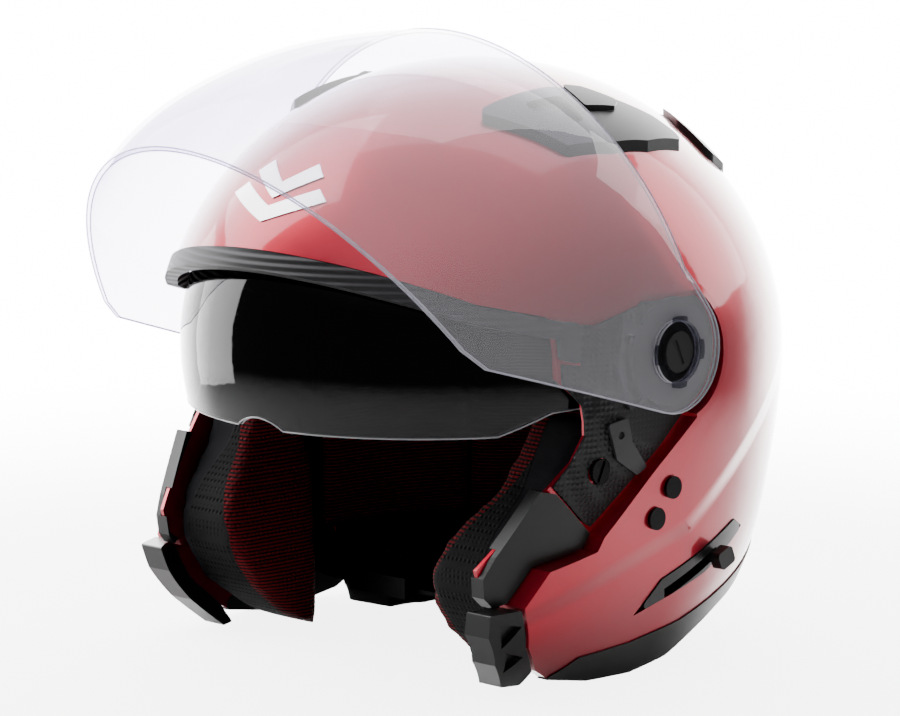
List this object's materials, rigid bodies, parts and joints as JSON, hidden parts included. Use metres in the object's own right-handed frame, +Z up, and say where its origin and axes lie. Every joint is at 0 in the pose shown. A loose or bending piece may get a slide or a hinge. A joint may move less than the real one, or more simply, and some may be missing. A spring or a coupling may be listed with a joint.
{
  "type": "motorcycle helmet",
  "caption": "Open-face motorcycle helmet with flip-up clear face shield, drop-down smoke sun shield, padded liner and chin strap.",
  "frame": {"origin": "on the resting surface, under the middle of the helmet's bounding box", "axes": "+X the wearer's left, -Y the front, +Z up"},
  "size_m": [0.2472, 0.3104, 0.259],
  "materials": {
    "shell_paint": "candy metallic gloss",
    "foam": "matt bead foam",
    "liner_fabric": "ribbed knit, red and black",
    "cheek_mesh": "spacer mesh with charcoal borders",
    "neck_leatherette": "leatherette",
    "clear_shield": "clear polycarbonate",
    "smoke_shield": "smoke tinted polycarbonate",
    "clear_cap": "clear gloss",
    "seal_rubber": "ribbed, matt",
    "edge_rubber": "satin black",
    "panel_plastic": "dimpled dark grey",
    "plate_plastic": "satin grey",
    "cover_plastic": "satin black",
    "vent_plastic": "dark grey",
    "bright_metal": "bright",
    "dark_metal": "blackened",
    "webbing": "woven strap",
    "emblem_foil": "silver foil"
  },
  "bodies": {
    "helmet": {"outer_shell": "shell_paint", "impact_foam": "foam", "crown_liner": "liner_fabric", "side_liner_left": "liner_fabric", "side_liner_right": "liner_fabric", "cheek_pad_left": "cheek_mesh", "cheek_pad_right": "cheek_mesh", "neck_roll": "neck_leatherette", "pivot_boss_left": "clear_cap", "pivot_boss_right": "clear_cap", "eyeport_gasket": "seal_rubber", "bottom_trim": "edge_rubber", "side_panel_left": "panel_plastic", "side_panel_right": "panel_plastic", "shield_base_plate_left": "plate_plastic", "shield_base_plate_right": "plate_plastic", "gasket_clip_left": "plate_plastic", "gasket_clip_right": "plate_plastic", "jaw_cover_left": "cover_plastic", "jaw_cover_right": "cover_plastic", "jaw_vent_left": "cover_plastic", "jaw_vent_right": "cover_plastic", "slider_bezel": "cover_plastic", "pivot_cap_left": "cover_plastic", "pivot_cap_right": "cover_plastic", "top_vent_left": "vent_plastic", "top_vent_right": "vent_plastic", "rear_vent_left": "vent_plastic", "rear_vent_right": "vent_plastic", "sun_shield_pivots": "bright_metal", "ratchet_tongue": "bright_metal", "buckle_body": "bright_metal", "buckle_pin": "bright_metal", "strap_rivets": "dark_metal", "panel_screws": "dark_metal", "strap_left": "webbing", "strap_right": "webbing", "brow_emblem": "emblem_foil"},
    "face_shield": {"face_shield": "clear_shield", "detent_pins": "bright_metal"},
    "sun_shield": {"sun_shield": "smoke_shield"},
    "slider_lever": {"slider_lever": "cover_plastic"},
    "vent_slider_left": {"vent_slider_left": "cover_plastic"},
    "vent_slider_right": {"vent_slider_right": "cover_plastic"},
    "release_latch_left": {"release_latch_left": "plate_plastic"},
    "release_latch_right": {"release_latch_right": "plate_plastic"},
    "buckle_lever": {"buckle_lever": "bright_metal"}
  },
  "joints": [
    {"name": "face_shield_swing", "type": "hinge", "parent": "helmet", "child": "face_shield", "pos_m": [0, 0.0095, 0.134], "axis": [-1, 0, 0], "range_deg": [-53, 0]},
    {"name": "sun_shield_swing", "type": "hinge", "parent": "helmet", "child": "sun_shield", "pos_m": [0, -0.0045, 0.1275], "axis": [-1, 0, 0], "range_deg": [0, 42]},
    {"name": "lever_slide", "type": "slide", "parent": "helmet", "child": "slider_lever", "axis": [0, -0.9176, -0.3976], "range_m": [0, 0.0281]},
    {"name": "vent_slide_left", "type": "slide", "parent": "helmet", "child": "vent_slider_left", "axis": [0, 1, 0], "range_m": [0, 0.006]},
    {"name": "vent_slide_right", "type": "slide", "parent": "helmet", "child": "vent_slider_right", "axis": [0, 1, 0], "range_m": [0, 0.006]},
    {"name": "latch_left", "type": "hinge", "parent": "helmet", "child": "release_latch_left", "pos_m": [0.118, -0.02, 0.103], "axis": [1, 0, 0], "range_deg": [0, 6], "stiffness_Nm_per_rad": 0.02},
    {"name": "latch_right", "type": "hinge", "parent": "helmet", "child": "release_latch_right", "pos_m": [-0.118, -0.02, 0.103], "axis": [1, 0, 0], "range_deg": [0, 6], "stiffness_Nm_per_rad": 0.02},
    {"name": "buckle_release", "type": "hinge", "parent": "helmet", "child": "buckle_lever", "pos_m": [-0.046, 0.004, 0.022], "axis": [0, -1, 0], "range_deg": [0, 40], "stiffness_Nm_per_rad": 0.02}
  ],
  "couplings": [
    {"joint": "lever_slide", "follows": "sun_shield_swing", "m_per_rad": 0.0382}
  ]
}
